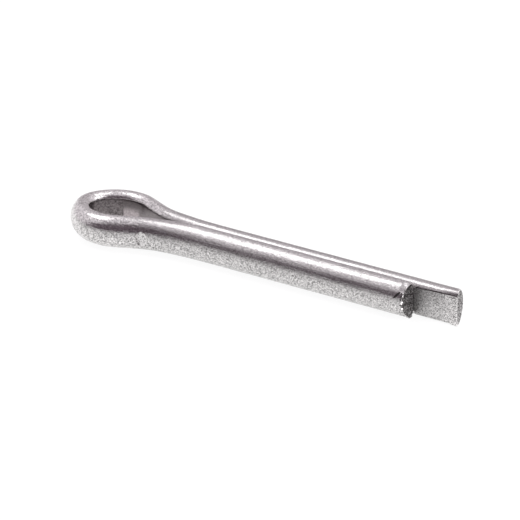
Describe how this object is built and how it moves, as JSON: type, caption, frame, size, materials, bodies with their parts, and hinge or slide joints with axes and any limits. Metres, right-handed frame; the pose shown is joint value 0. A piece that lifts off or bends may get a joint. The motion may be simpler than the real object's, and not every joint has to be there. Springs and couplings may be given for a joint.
{
  "type": "cotter pin",
  "caption": "Split cotter pin of half-round steel wire, folded flat to flat into a round shank with a drop-shaped eye and one leg longer, pushed through a cross hole and spread to lock it.",
  "frame": {"origin": "on the shank's axis, where the straight round shank begins under the eye", "axes": "+X along the shank towards the free ends, +Z square to the plane of the eye, the short leg at -Y and the long leg at +Y"},
  "size_m": [0.0338, 0.0066, 0.0028],
  "materials": {
    "steel": "tumbled bare steel with a fine grainy sheen, darker and rough on the sheared ends"
  },
  "bodies": {
    "root": {"cotter_pin": "steel"}
  },
  "joints": []
}
